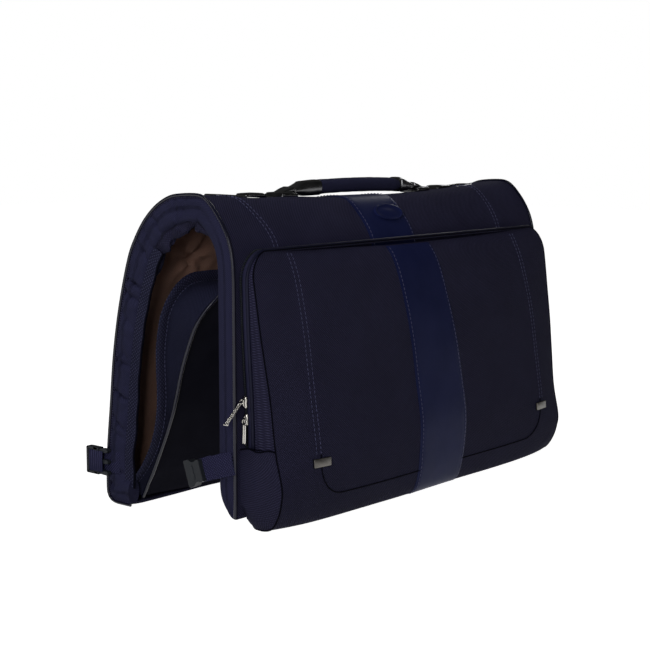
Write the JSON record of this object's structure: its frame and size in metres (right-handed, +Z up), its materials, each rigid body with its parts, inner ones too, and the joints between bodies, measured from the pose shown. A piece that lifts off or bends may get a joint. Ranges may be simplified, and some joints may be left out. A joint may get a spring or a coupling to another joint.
{
  "type": "garment bag",
  "caption": "Bi-fold soft garment bag standing half folded, with a front zip pocket, carry handle, strap rings and side-release buckle straps.",
  "frame": {"origin": "bottom centre of the standing bag, on the surface it stands on", "axes": "+X along the fold, towards the bag's left as its front pocket is faced from behind; -Y is the front pocket side; +Z up"},
  "size_m": [0.585, 0.2762, 0.353],
  "materials": {
    "nylon": "matte woven ballistic nylon, dark navy",
    "band": "smooth rolled binding fabric, navy",
    "lining": "satin lining, chocolate brown",
    "leather": "smooth coated leather, navy",
    "plastic": "moulded acetal, near black",
    "webbing": "woven strap webbing, navy",
    "gunmetal": "dark gunmetal plating",
    "nickel": "satin nickel plating"
  },
  "bodies": {
    "front_half": {"front_shell": "nylon", "front_inner_panel": "lining", "front_side_band_L": "band", "front_side_band_R": "band", "front_bottom_band": "band", "pocket_bottom": "nylon", "pocket_lower_front": "nylon", "pocket_lower_gusset_L": "nylon", "pocket_lower_gusset_R": "nylon", "pocket_zipper": "band", "pocket_strip_lower": "leather", "pocket_tab_L": "nickel", "pocket_tab_R": "nickel"},
    "pocket_flap": {"flap_panel": "nylon", "flap_gusset": "nylon", "flap_strip": "leather"},
    "spine_front": {"spine_front_panel": "nylon", "spine_front_band_L": "band", "spine_front_band_R": "band", "spine_front_strip": "leather", "badge": "nickel"},
    "spine_mid": {"spine_mid_panel": "nylon", "spine_mid_band_L": "band", "spine_mid_band_R": "band", "spine_mid_strip": "leather", "handle_bracket_L": "gunmetal", "handle_bracket_R": "gunmetal", "strap_base_L": "gunmetal", "strap_base_R": "gunmetal"},
    "spine_back": {"spine_back_panel": "nylon", "spine_back_band_L": "band", "spine_back_band_R": "band"},
    "back_half": {"back_shell": "nylon", "back_lining": "lining", "back_gusset_L": "band", "back_gusset_R": "band", "back_bottom": "nylon", "hanger_bracket": "plastic"},
    "cover": {"cover_panel": "band", "cover_pocket_face": "nylon", "cover_pocket_gusset_L": "lining", "cover_pocket_gusset_R": "lining"},
    "clamp": {"hanger_clamp": "nickel"},
    "handle": {"handle_grip": "leather", "handle_cap_L": "gunmetal", "handle_cap_R": "gunmetal"},
    "ring_left": {"strap_ring_L": "gunmetal"},
    "ring_right": {"strap_ring_R": "gunmetal"},
    "front_strap_left": {"webbing_front_L": "webbing", "buckle_female_L": "plastic"},
    "front_strap_right": {"webbing_front_R": "webbing", "buckle_female_R": "plastic"},
    "back_strap_left": {"webbing_back_L": "webbing", "buckle_male_L": "plastic"},
    "back_strap_right": {"webbing_back_R": "webbing", "buckle_male_R": "plastic"},
    "slider_upper": {"zip_slider_upper": "nickel"},
    "pull_upper": {"zip_pull_upper": "nickel"},
    "slider_lower": {"zip_slider_lower": "nickel"},
    "pull_lower": {"zip_pull_lower": "nickel"}
  },
  "joints": [
    {"name": "fold_1", "type": "hinge", "parent": "front_half", "child": "spine_front", "pos_m": [0, -0.07329, 0.29313], "axis": [1, 0, 0], "range_deg": [-1, 42.8]},
    {"name": "fold_2", "type": "hinge", "parent": "spine_front", "child": "spine_mid", "pos_m": [0, -0.02547, 0.33925], "axis": [1, 0, 0], "range_deg": [-1, 42.8]},
    {"name": "fold_3", "type": "hinge", "parent": "spine_mid", "child": "spine_back", "pos_m": [0, 0.04059, 0.33219], "axis": [1, 0, 0], "range_deg": [-1, 42.8]},
    {"name": "fold_4", "type": "hinge", "parent": "spine_back", "child": "back_half", "pos_m": [0, 0.07758, 0.27701], "axis": [1, 0, 0], "range_deg": [-1, 42.8]},
    {"name": "pocket_flap_hinge", "type": "hinge", "parent": "front_half", "child": "pocket_flap", "pos_m": [0, -0.139, 0.085], "axis": [1, 0, 0], "range_deg": [0, 75]},
    {"name": "cover_hinge", "type": "hinge", "parent": "back_half", "child": "cover", "pos_m": [0, 0.082, 0.005], "axis": [1, 0, 0], "range_deg": [-5, 1]},
    {"name": "clamp_hinge", "type": "hinge", "parent": "back_half", "child": "clamp", "pos_m": [0, 0.0945, 0.007], "axis": [1, 0, 0], "range_deg": [0, 20]},
    {"name": "handle_lift", "type": "slide", "parent": "spine_mid", "child": "handle", "axis": [0, 0, 1], "range_m": [0, 0.018]},
    {"name": "ring_left_hinge", "type": "hinge", "parent": "spine_mid", "child": "ring_left", "pos_m": [-0.19, -0.003, 0.3428], "axis": [0, 1, 0], "range_deg": [0, 110]},
    {"name": "ring_right_hinge", "type": "hinge", "parent": "spine_mid", "child": "ring_right", "pos_m": [0.19, -0.003, 0.3428], "axis": [0, -1, 0], "range_deg": [0, 110]},
    {"name": "front_strap_left_hinge", "type": "hinge", "parent": "front_half", "child": "front_strap_left", "pos_m": [-0.2813, -0.077, 0.072], "axis": [0, 0, 1], "range_deg": [0, 80]},
    {"name": "front_strap_right_hinge", "type": "hinge", "parent": "front_half", "child": "front_strap_right", "pos_m": [0.2813, -0.077, 0.072], "axis": [0, 0, -1], "range_deg": [0, 80]},
    {"name": "back_strap_left_hinge", "type": "hinge", "parent": "back_half", "child": "back_strap_left", "pos_m": [-0.2813, 0.093, 0.047], "axis": [0, 0, 1], "range_deg": [0, 80]},
    {"name": "back_strap_right_hinge", "type": "hinge", "parent": "back_half", "child": "back_strap_right", "pos_m": [0.2813, 0.093, 0.047], "axis": [0, 0, -1], "range_deg": [0, 80]},
    {"name": "slider_upper_slide", "type": "slide", "parent": "front_half", "child": "slider_upper", "axis": [-0.0787, 0, 0.9969], "range_m": [0, 0.1]},
    {"name": "pull_upper_hinge", "type": "hinge", "parent": "slider_upper", "child": "pull_upper", "pos_m": [-0.27205, -0.0835, 0.136], "axis": [0, 1, 0], "range_deg": [-20, 60]},
    {"name": "slider_lower_slide", "type": "slide", "parent": "front_half", "child": "slider_lower", "axis": [-0.0787, 0, 0.9969], "range_m": [-0.015, 0]},
    {"name": "pull_lower_hinge", "type": "hinge", "parent": "slider_lower", "child": "pull_lower", "pos_m": [-0.27055, -0.0835, 0.117], "axis": [0, 1, 0], "range_deg": [0, 40]}
  ],
  "couplings": [
    {"joint": "fold_2", "follows": "fold_1", "ratio": 1},
    {"joint": "fold_3", "follows": "fold_1", "ratio": 1},
    {"joint": "fold_4", "follows": "fold_1", "ratio": 1}
  ]
}
